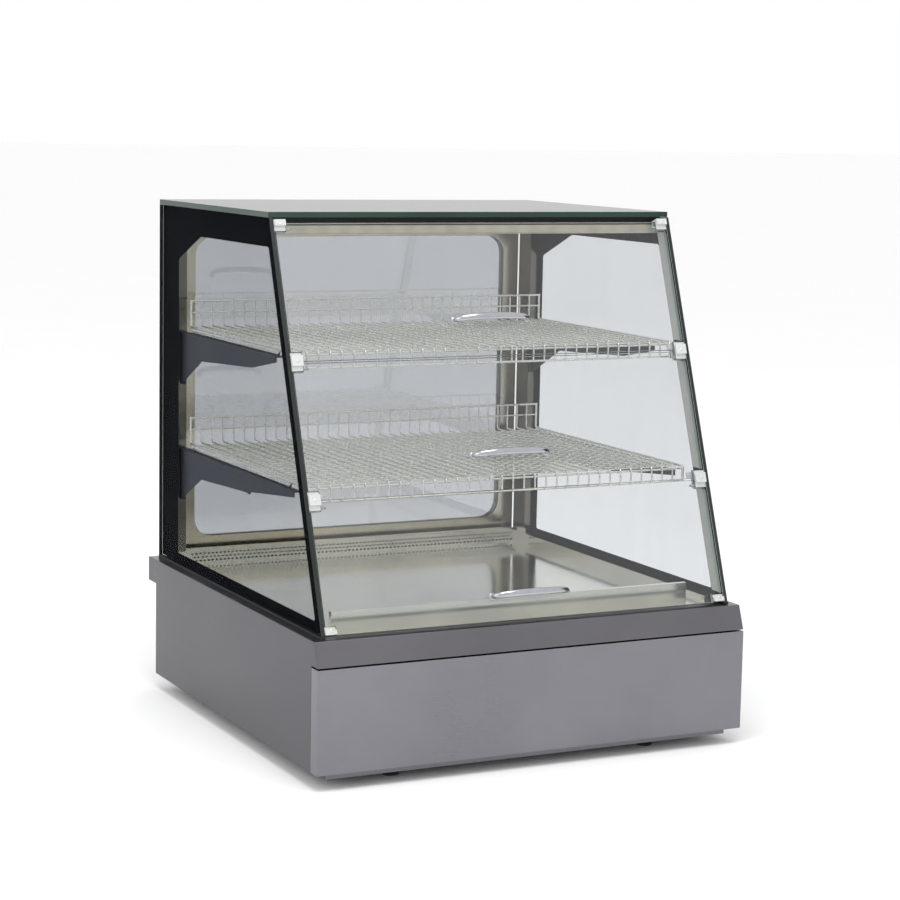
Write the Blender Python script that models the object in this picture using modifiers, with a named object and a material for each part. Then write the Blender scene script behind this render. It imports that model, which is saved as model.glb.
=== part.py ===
"""Self-service heated display case for a counter, one object for each part.

Units are metres. X runs left to right, +Y runs from the customer's side to the
operator's side and +Z is up. The origin is on the counter, under the middle of
the case.
"""

from math import atan, cos, pi, radians, sin

import bmesh
import bpy
from mathutils import Matrix, Vector

# ---- driving dimensions ----------------------------------------------------
WIDTH = 0.700               # over the base
DEPTH = 0.700               # over the deck rim, front to rear
BASE_DEPTH = 0.665          # front panel to the rear wall of the base
SHEET = 0.0015              # stainless sheet
GAP = 0.0003                # between pieces that touch

FOOT_TOP = 0.014            # underside of the base pan
SKIRT_Z = 0.024             # lower edge of the base panels
SEAM_Z = 0.1745             # top of the front panel
OVERHANG_Z = 0.173          # underside of the rear overhang
RIM_Z = 0.212               # top of the deck rim
DECK_Z = 0.204              # heated deck surface
TOP_Z = 0.795               # top of the top glass

FOOT_X = 0.212
FOOT_Y = (0.053, 0.600)
PAN_X = 0.330
PAN_Y = (0.014, 0.650)
VENT_COUNT = 11
VENT_PITCH = 0.020
VENT_SIZE = (0.005, 0.050)
VENT_Y = (0.20, 0.30)
PANEL_EDGE = 0.342
PANEL_Z = (0.028, 0.168)
FASCIA_BACK = 0.0137        # how far the front fascia leans back to the rim
GLASS_X = 0.335             # outer face of the side glass
SIDE_GLASS = 0.006
TOP_GLASS = 0.008
GLASS_FRONT = 0.0225        # front edge of the side glass at the rim
GLASS_TOP_FRONT = 0.232     # front edge of the top glass
GLASS_REAR = 0.692
SEAL_TOP = 0.216            # the side glass stands on its seal

# The deck tray hangs in the rim: its flange, sides, rear wall and front upstand.
TRAY_X = 0.3265
TRAY_REAR = 0.6535
FLANGE_TOP = 0.2138
SIDE_TOP = 0.2205
REAR_WALL_TOP = 0.230
UPSTAND_TOP = 0.238
UPSTAND_X = 0.296
UPSTAND_Y = (0.080, 0.0875)
POCKET_X = 0.313
POCKET_REAR = 0.645
LEDGE_FRONT = 0.040
SIDE_FRONT = 0.055
REAR_BLOCK = 0.6285         # the sides step up to the rear wall's height here
HOLE_ROWS = 3
HOLE_COUNT = 85
HOLE_PITCH = 0.0070
HOLE_SIZE = (0.0036, 0.0026)
HOLE_LOW = 0.2085
HOLE_RISE = 0.0058

LAMP_Y = (0.243, 0.264)
LAMP_Z = 0.775              # underside of the light rail

# The three front flaps hang in clips at these heights.
CLIP_Z = (0.781, 0.586, 0.396, 0.2155)
FLAP_THICK = 0.006
FLAP_FACE = -0.001          # outer face, behind the leaning front plane
FLAP_X = 0.3265             # half the flap's width
NARROW_X = 0.3105           # half its width beside a clip
CLIP_X = (0.311, 0.3287)
CLIP_DOWN = (-0.013, -0.013, -0.013, 0.002)
CLIP_UP = (0.003, 0.013, 0.013, 0.013)
CLIP_BACK = (-0.012, -0.012, -0.012, -0.007)
PIN_BELOW = 0.0095          # hinge pin under the clip's level
PIN_ROOT_X = 0.312
PIN_RADIUS = 0.0014
HANDLE_Z = (0.639, 0.447, 0.251)
HANDLE_HALF = 0.061
HANDLE_BOW = 0.021
HANDLE_ROD = 0.0038

SHELF_TOP = (0.599, 0.412)
SHELF_FRONT = (0.176, 0.128)
SHELF_REAR = 0.600
SHELF_X = 0.316
SHELF_DROP = 0.027          # front edge turned down
SHELF_FENCE = 0.042         # rear edge turned up
SHELF_WIRES = 18
SHELF_ROWS = (6, 7)
WIRE = 0.004
BRACKET_BELOW = 0.0125      # shelf surface to the bracket's top
BRACKET_TIP = (0.233, 0.161)
WEB_X = (0.319, 0.321)
WEB_MIDDLE = 0.320
FLANGE_X = 0.3085
TAB_X = 0.3125

POST_X = (0.311, 0.3287)
POST_Y = (0.630, 0.671)
HEADER_Y = (0.640, 0.6905)
HEADER_Z = 0.768

DOOR_X = 0.309
DOOR_Y = (0.672, 0.690)
DOOR_Z = (0.2165, 0.7635)
DOOR_AXIS = (-0.300, 0.683)
WINDOW_X = 0.281
WINDOW_Z = (0.245, 0.735)
WINDOW_RADIUS = 0.030
MIRROR_LAP = 0.012          # glass behind the frame, all round the window
PIVOT_RADII = (0.003, 0.008)
PIVOT_REACH = 0.009
GRIP_X = (0.288, 0.3088)
GRIP_REAR = 0.6995
GRIP_Z = (0.400, 0.580)

PANEL_Y = 0.6653            # front face of the rear control panel
CONTROL_Z = 0.098
KNOB_X = 0.200
POWER_X = 0.120
LIGHT_X = 0.070
DISPLAY_X = -0.015
GLAND = (-0.275, 0.062)
ROCKER_TILT = radians(8)

FAN = (0.0, 0.450)
BLADES = 12
INLET_RADIUS = 0.045
DUCT_X = 0.300
DUCT_Y = (0.120, 0.640)
DUCT_SHEET = 0.001
DUCT_Z = 0.130              # underside of the air duct
ELEMENT_Y = (0.180, 0.300)
ELEMENT_Z = 0.165
ELEMENT_ROD = 0.004
ELEMENT_BEND = 0.020

LEAN = atan((GLASS_TOP_FRONT - GLASS_FRONT) / (TOP_Z - RIM_Z))
FRONT = -DEPTH / 2

# ---- colours: base colour, metallic, roughness -----------------------------
STEEL = ((0.42, 0.41, 0.43), 1.0, 0.32)
BRIGHT_STEEL = ((0.62, 0.61, 0.58), 1.0, 0.18)
CHROME = ((0.80, 0.80, 0.80), 1.0, 0.08)
CLEAR = ((0.80, 0.86, 0.84), 0.0, 0.03)
MIRROR = ((0.62, 0.66, 0.70), 1.0, 0.03)
SLATE = ((0.10, 0.11, 0.13), 0.3, 0.45)
BLACK = ((0.02, 0.02, 0.022), 0.0, 0.50)
FROSTED = ((0.78, 0.80, 0.78), 0.0, 0.35)
CREAM = ((0.85, 0.82, 0.68), 0.0, 0.40)
GREY_STEEL = ((0.35, 0.35, 0.34), 1.0, 0.45)

parts = bpy.data.collections.new("heated_display_case")
cutters = bpy.data.collections.new("cutters")


# ---- helpers ---------------------------------------------------------------
def y(distance):
    """World Y of a place this far behind the front panel."""
    return FRONT + distance


def clear_scene():
    for obj in list(bpy.data.objects):
        bpy.data.objects.remove(obj, do_unlink=True)
    bpy.context.scene.collection.children.link(parts)
    bpy.context.scene.collection.children.link(cutters)


def material(name, look):
    """The part's own Principled material, from its colour, metallic value and roughness."""
    mat = bpy.data.materials.new(name)
    mat.use_nodes = True
    shader = mat.node_tree.nodes["Principled BSDF"]
    colour, metallic, roughness = look
    shader.inputs["Base Color"].default_value = (*colour, 1)
    shader.inputs["Metallic"].default_value = metallic
    shader.inputs["Roughness"].default_value = roughness
    return mat


def add(name, mesh, look=None):
    """Put a mesh in the case, or among the cutters where it has no look."""
    obj = bpy.data.objects.new(name, mesh)
    if look is None:
        obj.hide_render = True
        obj.display_type = "WIRE"
        cutters.objects.link(obj)
    else:
        mesh.materials.append(material(name, look))
        parts.objects.link(obj)
    return obj


def from_bmesh(name, bm, look=None):
    mesh = bpy.data.meshes.new(name)
    bm.to_mesh(mesh)
    bm.free()
    return add(name, mesh, look)


def box(name, low, high, look=None):
    bm = bmesh.new()
    bmesh.ops.create_cube(bm, size=1)
    size = [b - a for a, b in zip(low, high)]
    middle = [(a + b) / 2 for a, b in zip(low, high)]
    bm.transform(Matrix.Translation(middle) @ Matrix.Diagonal((*size, 1)))
    return from_bmesh(name, bm, look)


def cylinder(name, radius, low, high, axis="Z", look=None, sides=24):
    """A round bar between two points on a line along the axis."""
    bm = bmesh.new()
    length = (Vector(high) - Vector(low)).length
    bmesh.ops.create_cone(bm, cap_ends=True, segments=sides, radius1=radius,
                          radius2=radius, depth=length)
    turn = {"X": Matrix.Rotation(pi / 2, 4, "Y"), "Y": Matrix.Rotation(pi / 2, 4, "X"),
            "Z": Matrix.Identity(4)}[axis]
    bm.transform(Matrix.Translation((Vector(low) + Vector(high)) / 2) @ turn)
    return smooth(from_bmesh(name, bm, look))


def smooth(obj, angle=40):
    obj.data.shade_smooth()
    obj.data.set_sharp_from_angle(angle=radians(angle))
    return obj


def mesh_of(obj):
    """Turn a curve object into a welded mesh, in world space."""
    bpy.context.view_layer.update()
    evaluated = obj.evaluated_get(bpy.context.evaluated_depsgraph_get())
    mesh = bpy.data.meshes.new_from_object(evaluated)
    mesh.materials.clear()
    bm = bmesh.new()
    bm.from_mesh(mesh)
    bmesh.ops.remove_doubles(bm, verts=bm.verts, dist=0.00001)
    bm.transform(obj.matrix_world)
    bm.to_mesh(mesh)
    bm.free()
    bpy.data.objects.remove(obj, do_unlink=True)
    return mesh


def plate(name, loops, low, high, across="X", look=None):
    """A flat outline, with holes, from low to high along one axis."""
    curve = bpy.data.curves.new(name, "CURVE")
    curve.dimensions = "2D"
    curve.fill_mode = "BOTH"
    curve.extrude = (high - low) / 2
    for loop in loops:
        spline = curve.splines.new("POLY")
        spline.points.add(len(loop) - 1)
        for point, (u, v) in zip(spline.points, loop):
            point.co = (u, v, 0, 1)
        spline.use_cyclic_u = True
    obj = bpy.data.objects.new(name, curve)
    bpy.context.scene.collection.objects.link(obj)
    middle = (low + high) / 2
    frames = {"X": Matrix(((0, 0, 1, middle), (1, 0, 0, 0), (0, 1, 0, 0), (0, 0, 0, 1))),
              "Y": Matrix(((1, 0, 0, 0), (0, 0, -1, middle), (0, 1, 0, 0), (0, 0, 0, 1))),
              "Z": Matrix.Translation((0, 0, middle))}
    obj.matrix_world = frames[across]
    return add(name, mesh_of(obj), look)


def turned(name, profile, look, sides=24, closed=False):
    """A profile of (radius, height) points turned round Z, outer side downwards."""
    bm = bmesh.new()
    points = [bm.verts.new((radius, 0, height)) for radius, height in profile]
    for first, second in zip(points, points[1:]):
        bm.edges.new((first, second))
    if closed:
        bm.edges.new((points[-1], points[0]))
    obj = from_bmesh(name, bm, look)
    screw = obj.modifiers.new("turn", "SCREW")
    screw.steps = sides
    screw.render_steps = sides
    screw.use_merge_vertices = True
    screw.merge_threshold = 0.00001
    return obj


def rod(name, points, radius, look, detail=2):
    """A round rod or tube along the points, with filled ends."""
    curve = bpy.data.curves.new(name, "CURVE")
    curve.dimensions = "3D"
    curve.bevel_depth = radius
    curve.bevel_resolution = detail
    curve.use_fill_caps = True
    spline = curve.splines.new("POLY")
    spline.points.add(len(points) - 1)
    for point, place in zip(spline.points, points):
        point.co = (*place, 1)
    spline.use_smooth = True
    obj = bpy.data.objects.new(name, curve)
    bpy.context.scene.collection.objects.link(obj)
    return smooth(add(name, mesh_of(obj), look), 50)


def boolean(obj, other, operation):
    change = obj.modifiers.new(operation.lower(), "BOOLEAN")
    change.operation = operation
    change.solver = "EXACT"
    change.object = other


def cut(obj, *others):
    for other in others:
        boolean(obj, other, "DIFFERENCE")
    return obj


def join(obj, *others):
    for other in others:
        boolean(obj, other, "UNION")
    return obj


def carry(piece, parent):
    """Parent a piece that already stands in its place in the case."""
    piece.parent = parent
    piece.matrix_parent_inverse = parent.matrix_basis.inverted()


def rectangle(u0, v0, u1, v1):
    return [(u0, v0), (u1, v0), (u1, v1), (u0, v1)]


def rounded(u0, v0, u1, v1, radius, steps=6):
    """A rectangle with round corners."""
    points = []
    corners = ((u1 - radius, v0 + radius, -90), (u1 - radius, v1 - radius, 0),
               (u0 + radius, v1 - radius, 90), (u0 + radius, v0 + radius, 180))
    for u, v, start in corners:
        for step in range(steps + 1):
            angle = radians(start + 90 * step / steps)
            points.append((u + radius * cos(angle), v + radius * sin(angle)))
    return points


def front_edge(z, behind=0.0):
    """World Y of the leaning front plane at this height, or of a plane behind it."""
    return y(GLASS_FRONT + (z - RIM_Z) * sin(LEAN) / cos(LEAN) + behind / cos(LEAN))


def up_slope(z):
    """Distance up the leaning front plane from the rim."""
    return (z - RIM_Z) / cos(LEAN)


def lean(obj, up=0.0, out=0.0):
    """Set an object made flat, X across and Y up the slope, on the front plane."""
    along = Vector((0, sin(LEAN), cos(LEAN)))
    outward = Vector((0, -cos(LEAN), sin(LEAN)))
    base = Vector((0, y(GLASS_FRONT), RIM_Z))
    obj.location = base + along * up + outward * out
    obj.rotation_euler.x = pi / 2 - LEAN
    return obj


# ---- base ------------------------------------------------------------------
def make_feet():
    top = FOOT_TOP - GAP
    front, rear = FOOT_Y
    for name, side, row in (("foot_front_left", -1, front), ("foot_front_right", 1, front),
                            ("foot_rear_left", -1, rear), ("foot_rear_right", 1, rear)):
        foot = turned(name, ((0, top), (0.0100, top), (0.0110, 0.004), (0.0125, 0.0025),
                             (0.0125, 0.0), (0, 0.0)), BLACK)
        foot.location = (side * FOOT_X, y(row), 0)
        smooth(foot)


def make_base_pan():
    """Folded pan under the base, with two rows of air vents."""
    front, rear = PAN_Y
    inside = PAN_X - SHEET
    pan = box("base_pan", (-PAN_X, y(front), FOOT_TOP), (PAN_X, y(rear), SKIRT_Z - GAP), GREY_STEEL)
    cut(pan, box("pan_inside", (-inside, y(front + SHEET), FOOT_TOP + SHEET),
                 (inside, y(rear - SHEET), SKIRT_Z + 0.01)))
    across, along = VENT_SIZE
    middles = [VENT_PITCH * (i - (VENT_COUNT - 1) / 2) for i in range(VENT_COUNT)]
    vents = [rectangle(x - across / 2, y(d), x + across / 2, y(d + along)) for d in VENT_Y for x in middles]
    cut(pan, plate("pan_vents", vents, FOOT_TOP - 0.005, FOOT_TOP + 0.005, "Z"))


def make_body_shell():
    """Sides, leaning fascia, rim and rear overhang, folded from one sheet."""
    fascia_foot = SEAM_Z + 0.002
    outer = [(0.0225, SKIRT_Z), (BASE_DEPTH, SKIRT_Z), (BASE_DEPTH, OVERHANG_Z),
             (DEPTH, OVERHANG_Z), (DEPTH, RIM_Z), (FASCIA_BACK, RIM_Z),
             (0.0, fascia_foot), (0.0225, fascia_foot)]
    shell = plate("body_shell", [[(y(d), z) for d, z in outer]], -WIDTH / 2, WIDTH / 2, "X", STEEL)
    inner = [(0.012, SKIRT_Z + SHEET), (BASE_DEPTH - SHEET, SKIRT_Z + SHEET),
             (BASE_DEPTH - SHEET, OVERHANG_Z + SHEET), (DEPTH - SHEET, OVERHANG_Z + SHEET),
             (DEPTH - SHEET, RIM_Z - SHEET), (FASCIA_BACK + 0.0011, RIM_Z - SHEET),
             (0.0022, fascia_foot + SHEET), (0.012, fascia_foot + SHEET)]
    half = WIDTH / 2 - SHEET
    cut(shell, plate("shell_inside", [[(y(d), z) for d, z in inner]], -half, half))
    cut(shell, box("shell_bottom", (-0.322, y(0.030), SKIRT_Z - 0.01), (0.322, y(0.640), SKIRT_Z + 0.01)),
        box("deck_opening", (-0.318, y(0.050), RIM_Z - 0.01), (0.318, y(0.648), RIM_Z + 0.01)),
        box("panel_opening", (-0.330, y(BASE_DEPTH - 0.005), 0.034),
            (0.330, y(BASE_DEPTH + 0.005), 0.160)))


def make_front_panel():
    panel = box("front_panel", (-WIDTH / 2, y(0), SKIRT_Z), (WIDTH / 2, y(0.022), SEAM_Z), STEEL)
    half = WIDTH / 2 - SHEET
    cut(panel, box("front_panel_inside", (-half, y(SHEET), SKIRT_Z + SHEET),
                   (half, y(0.030), SEAM_Z - SHEET)))


def make_rear_panel():
    """Control panel with holes for the controls, the gland and the air."""
    holes = [rounded(x - 0.011, CONTROL_Z - 0.015, x + 0.011, CONTROL_Z + 0.015, 0.001, 1)
             for x in (POWER_X, LIGHT_X)]
    holes.append(rectangle(DISPLAY_X - 0.031, CONTROL_Z - 0.013, DISPLAY_X + 0.031, CONTROL_Z + 0.013))
    holes.append(circle(KNOB_X, CONTROL_Z, 0.0045))
    holes.append(circle(*GLAND, 0.0105))
    holes += [rounded(x - 0.002, 0.070, x + 0.002, 0.125, 0.0019, 2)
              for x in [-0.200 + 0.012 * i for i in range(10)]]
    plate("rear_panel", [rectangle(-PANEL_EDGE, PANEL_Z[0], PANEL_EDGE, PANEL_Z[1])] + holes,
          y(PANEL_Y), y(PANEL_Y + SHEET), "Y", STEEL)


def circle(u, v, radius, steps=20):
    return [(u + radius * cos(2 * pi * i / steps), v + radius * sin(2 * pi * i / steps))
            for i in range(steps)]


# ---- deck ------------------------------------------------------------------
def make_deck_tray():
    """Heated deck folded from one sheet: flange, low sides, front upstand and rear air wall."""
    flange = RIM_Z + GAP
    floor = DECK_Z - SHEET
    below = floor - 0.003
    front, rear = UPSTAND_Y[1], POCKET_REAR
    wall = POCKET_X + SHEET
    skin = TRAY_X - SHEET
    hollow_rear = TRAY_REAR - SHEET
    tray = box("deck_tray", (-wall, y(front - SHEET), floor), (wall, y(rear + SHEET), FLANGE_TOP),
               BRIGHT_STEEL)
    join(tray, box("tray_ledge", (-TRAY_X, y(LEDGE_FRONT), flange), (TRAY_X, y(front), FLANGE_TOP)),
         plate("tray_sides", both_sides(POCKET_X, SIDE_FRONT, TRAY_X, TRAY_REAR), flange, SIDE_TOP, "Z"),
         box("tray_rear", (-TRAY_X, y(REAR_BLOCK), flange), (TRAY_X, y(TRAY_REAR), REAR_WALL_TOP)),
         box("tray_upstand", (-UPSTAND_X, y(UPSTAND_Y[0]), flange + SHEET / 2),
             (UPSTAND_X, y(front), UPSTAND_TOP)))
    cut(tray, box("tray_pocket", (-POCKET_X, y(front), DECK_Z), (POCKET_X, y(rear), UPSTAND_TOP + 0.01)))
    cut(tray, plate("tray_side_hollow", both_sides(wall, SIDE_FRONT + SHEET, skin, hollow_rear),
                    below, SIDE_TOP - SHEET, "Z"),
        plate("tray_corner_hollow", both_sides(wall, REAR_BLOCK + SHEET, skin, hollow_rear),
              below, REAR_WALL_TOP - SHEET, "Z"),
        box("tray_rear_hollow", (-skin, y(rear + SHEET), below),
            (skin, y(hollow_rear), REAR_WALL_TOP - SHEET)),
        box("tray_upstand_hollow", (-UPSTAND_X + SHEET, y(UPSTAND_Y[0] + SHEET), below),
            (UPSTAND_X - SHEET, y(front - SHEET - GAP), UPSTAND_TOP - SHEET)))
    cut(tray, plate("air_holes", air_holes(), y(rear - 0.005), y(rear + 0.004), "Y"))


def both_sides(inner, front, outer, rear):
    """Two mirrored outlines, left and right of the middle."""
    return [rectangle(-outer, y(front), -inner, y(rear)), rectangle(inner, y(front), outer, y(rear))]


def air_holes():
    """Three staggered rows of short slots in the tray's rear wall."""
    holes = []
    for row in range(HOLE_ROWS):
        low = HOLE_LOW + row * HOLE_RISE
        start = -HOLE_PITCH * (HOLE_COUNT - 1) / 2 + (HOLE_PITCH / 2 if row % 2 else 0)
        for index in range(HOLE_COUNT - row % 2):
            x = start + index * HOLE_PITCH
            holes.append(rectangle(x - HOLE_SIZE[0] / 2, low, x + HOLE_SIZE[0] / 2, low + HOLE_SIZE[1]))
    return holes


def make_heating():
    """Air duct, looped element, fan motor and wheel under the deck."""
    top = DECK_Z - SHEET - GAP
    front, rear = DUCT_Y
    skin = DUCT_SHEET
    centre = (FAN[0], y(FAN[1]))
    duct = box("air_duct", (-DUCT_X, y(front), DUCT_Z), (DUCT_X, y(rear), top), GREY_STEEL)
    cut(duct, box("duct_inside", (-DUCT_X + skin, y(front + skin), DUCT_Z + skin),
                  (DUCT_X - skin, y(rear - skin), top + 0.01)),
        cylinder("duct_inlet", INLET_RADIUS, (*centre, DUCT_Z - 0.01), (*centre, DUCT_Z + 0.01)),
        box("duct_outlet", (-DUCT_X + 0.020, y(rear - 0.005), DUCT_Z + 0.020),
            (DUCT_X - 0.020, y(rear + 0.005), top - 0.008)))
    for d in ELEMENT_Y:
        cut(duct, cylinder("element_hole", ELEMENT_ROD + 0.0015, (DUCT_X - 0.01, y(d), ELEMENT_Z),
                           (DUCT_X + 0.01, y(d), ELEMENT_Z), "X"))
    near, far = ELEMENT_Y
    bend = ELEMENT_BEND
    outer = DUCT_X + 0.020
    turns = [(outer, y(near), ELEMENT_Z)]
    turns += arc(-0.180, near + bend, bend, 270, 180) + arc(-0.180, far - bend, bend, 180, 90)
    turns.append((outer, y(far), ELEMENT_Z))
    rod("heating_element", turns, ELEMENT_ROD, SLATE)
    motor = turned("fan_motor", ((0, 0.1295), (0.034, 0.1295), (0.036, 0.1265), (0.036, 0.075),
                                 (0.030, 0.068), (0, 0.068)), GREY_STEEL)
    motor.location = (*centre, 0)
    join(motor, box("motor_arm", (centre[0] - 0.065, centre[1] - 0.006, 0.128),
                    (centre[0] + 0.065, centre[1] + 0.006, 0.1297)))
    cut(motor, cylinder("motor_bore", 0.0035, (*centre, 0.110), (*centre, 0.14)))
    wheel = turned("fan_impeller", ((0, 0.150), (0.012, 0.150), (0.014, 0.137), (0.066, 0.137),
                                    (0.066, 0.1355), (0.003, 0.1355), (0.003, 0.115), (0, 0.115)),
                   GREY_STEEL)
    wheel.location = (*centre, 0)
    bm = bmesh.new()
    for index in range(BLADES):
        blade = bmesh.ops.create_cube(bm, size=1)["verts"]
        place = Matrix.Rotation(2 * pi * index / BLADES, 4, "Z") @ Matrix.Translation((0.050, 0, 0.146))
        size = Matrix.Rotation(radians(35), 4, "Z") @ Matrix.Diagonal((0.026, 0.001, 0.020, 1))
        bmesh.ops.transform(bm, matrix=place @ size, verts=blade)
    blades = from_bmesh("impeller_blades", bm)
    blades.location = (*centre, 0)
    join(wheel, blades)


def arc(x, d, radius, start, end, steps=6):
    """Points of the element's bend, in its own level."""
    angles = [radians(start + (end - start) * i / steps) for i in range(steps + 1)]
    return [(x + radius * cos(a), y(d + radius * sin(a)), ELEMENT_Z) for a in angles]


# ---- controls --------------------------------------------------------------
def facing_rear(obj, x, z):
    """Turn a piece made along +Z so that it points to the operator."""
    obj.rotation_euler.x = -pi / 2
    obj.location = (x, y(PANEL_Y + SHEET + GAP), z)
    return obj


def make_thermostat():
    knob = turned("thermostat_knob", ((0, 0.022), (0.0165, 0.022), (0.0185, 0.020), (0.0200, 0.004),
                                      (0.0230, 0.003), (0.0230, 0), (0.003, 0), (0.003, -0.011),
                                      (0, -0.011)), BLACK)
    bar = box("knob_bar", (-0.002, -0.015, 0.020), (0.002, 0.015, 0.0245))
    bar.parent = knob
    join(knob, bar)
    smooth(facing_rear(knob, KNOB_X, CONTROL_Z))
    body = box("thermostat_body", (KNOB_X - 0.022, y(0.625), CONTROL_Z - 0.028),
               (KNOB_X + 0.022, y(PANEL_Y - GAP), CONTROL_Z + 0.028), GREY_STEEL)
    cut(body, cylinder("thermostat_bore", 0.0035, (KNOB_X, y(0.650), CONTROL_Z),
                       (KNOB_X, y(0.670), CONTROL_Z), "Y"))


def make_switch(body_name, rocker_name, x):
    face = y(PANEL_Y + SHEET + GAP)
    body = box(body_name, (x - 0.0105, y(0.640), CONTROL_Z - 0.0145),
               (x + 0.0105, face + 0.001, CONTROL_Z + 0.0145), BLACK)
    join(body, box(body_name + "_bezel", (x - 0.013, face, CONTROL_Z - 0.017),
                   (x + 0.013, face + 0.003, CONTROL_Z + 0.017)))
    cut(body, box(body_name + "_pocket", (x - 0.0085, face - 0.012, CONTROL_Z - 0.0125),
                  (x + 0.0085, face + 0.01, CONTROL_Z + 0.0125)))
    outline = [(0.006, -0.0115), (0.004, 0.0), (0.006, 0.0115), (-0.004, 0.0115),
               (-0.006, 0.0), (-0.004, -0.0115)]
    rocker = plate(rocker_name, [outline], -0.008, 0.008, "X", BLACK)
    rocker.location = (x, face - 0.002, CONTROL_Z)
    rocker.rotation_euler.x = ROCKER_TILT


def make_display():
    face = y(PANEL_Y + SHEET + GAP)
    display = box("temperature_display", (DISPLAY_X - 0.0305, y(0.640), CONTROL_Z - 0.0125),
                  (DISPLAY_X + 0.0305, face + 0.001, CONTROL_Z + 0.0125), BLACK)
    join(display, box("display_bezel", (DISPLAY_X - 0.035, face, CONTROL_Z - 0.0165),
                      (DISPLAY_X + 0.035, face + 0.004, CONTROL_Z + 0.0165)))
    cut(display, box("display_window", (DISPLAY_X - 0.028, face + 0.003, CONTROL_Z - 0.011),
                     (DISPLAY_X + 0.028, face + 0.01, CONTROL_Z + 0.011)))


def make_supply():
    """Cable gland in the rear panel and the terminal block behind it."""
    gland = turned("cable_gland", ((0.0050, 0.022), (0.0085, 0.022), (0.0110, 0.018), (0.0140, 0.012),
                                   (0.0140, 0), (0.0100, 0), (0.0100, -0.012), (0.0050, -0.012)),
                   BLACK, closed=True)
    smooth(facing_rear(gland, *GLAND))
    seat = FOOT_TOP + SHEET + GAP
    block = box("terminal_block", (-0.310, y(0.560), seat), (-0.240, y(0.585), 0.035), CREAM)
    grooves = [rectangle(x - 0.001, y(0.555), x + 0.001, y(0.590)) for x in (-0.2925, -0.275, -0.2575)]
    cut(block, plate("terminal_grooves", grooves, 0.028, 0.05, "Z"))


# ---- glass -----------------------------------------------------------------
def make_glass():
    top = TOP_Z - TOP_GLASS - GAP
    outline = [(front_edge(SEAL_TOP), SEAL_TOP), (y(GLASS_REAR), SEAL_TOP),
               (y(GLASS_REAR), top), (front_edge(top), top)]
    for side, sign in (("left", -1), ("right", 1)):
        faces = sorted((sign * (GLASS_X - SIDE_GLASS), sign * GLASS_X))
        plate("side_glass_" + side, [outline], *faces, "X", CLEAR)
        edges = sorted((sign * (GLASS_X - SIDE_GLASS), sign * (GLASS_X + 0.0005)))
        box("glass_seal_" + side, (edges[0], y(GLASS_FRONT), RIM_Z + GAP),
            (edges[1], y(GLASS_REAR), SEAL_TOP - GAP), BLACK)
    box("top_glass", (-GLASS_X, y(GLASS_TOP_FRONT), TOP_Z - TOP_GLASS),
        (GLASS_X, y(GLASS_REAR), TOP_Z), CLEAR)


def make_lamp():
    """Light rail under the front edge of the top glass, and its diffuser."""
    top = TOP_Z - TOP_GLASS - GAP
    front, rear = LAMP_Y
    rail = box("lamp_rail", (-TRAY_X + 0.0005, y(front), LAMP_Z), (TRAY_X - 0.0005, y(rear), top), SLATE)
    wall = 0.0025
    cut(rail, box("rail_channel", (-TRAY_X + wall, y(front + wall), LAMP_Z - 0.01),
                  (TRAY_X - wall, y(rear - wall), top - 0.002)))
    middle = (front + rear) / 2
    reach = (rear - front) / 2
    crown = [(y(middle - reach * cos(a)), LAMP_Z - 0.0095 - 0.0045 * sin(a))
             for a in [radians(18 * i) for i in range(1, 10)]]
    shape = [(y(front), LAMP_Z - GAP), *crown, (y(rear), LAMP_Z - GAP)]
    plate("lamp_diffuser", [shape], -TRAY_X + 0.0005, TRAY_X - 0.0005, "X", CREAM)


# ---- rear frame and door ---------------------------------------------------
def make_posts():
    top = TOP_Z - TOP_GLASS - GAP
    for side, sign in (("left", -1), ("right", 1)):
        faces = sorted((sign * POST_X[0], sign * POST_X[1]))
        post = box("post_" + side, (faces[0], y(POST_Y[0]), RIM_Z + GAP),
                   (faces[1], y(POST_Y[1]), top), BRIGHT_STEEL)
        inside = sorted((sign * (POST_X[0] + SHEET), sign * (POST_X[1] + 0.01)))
        outside = sorted((sign * (POST_X[0] - 0.01), sign * (POST_X[1] + 0.01)))
        cut(post, box("post_channel", (inside[0], y(POST_Y[0] + SHEET), RIM_Z - 0.01),
                      (inside[1], y(POST_Y[1] - SHEET), top + 0.01)),
            box("post_heel", (outside[0], y(POST_Y[0] - 0.01), RIM_Z - 0.01),
                (outside[1], y(TRAY_REAR + GAP), REAR_WALL_TOP + GAP)))


def make_rear_header():
    top = TOP_Z - TOP_GLASS - GAP
    front, rear = HEADER_Y
    header = box("rear_header", (-POST_X[0] + GAP, y(front), HEADER_Z),
                 (POST_X[0] - GAP, y(rear), top), BRIGHT_STEEL)
    cut(header, box("header_channel", (-GLASS_X, y(front + SHEET), HEADER_Z + SHEET),
                    (GLASS_X, y(rear - SHEET), top + 0.01)))


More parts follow.
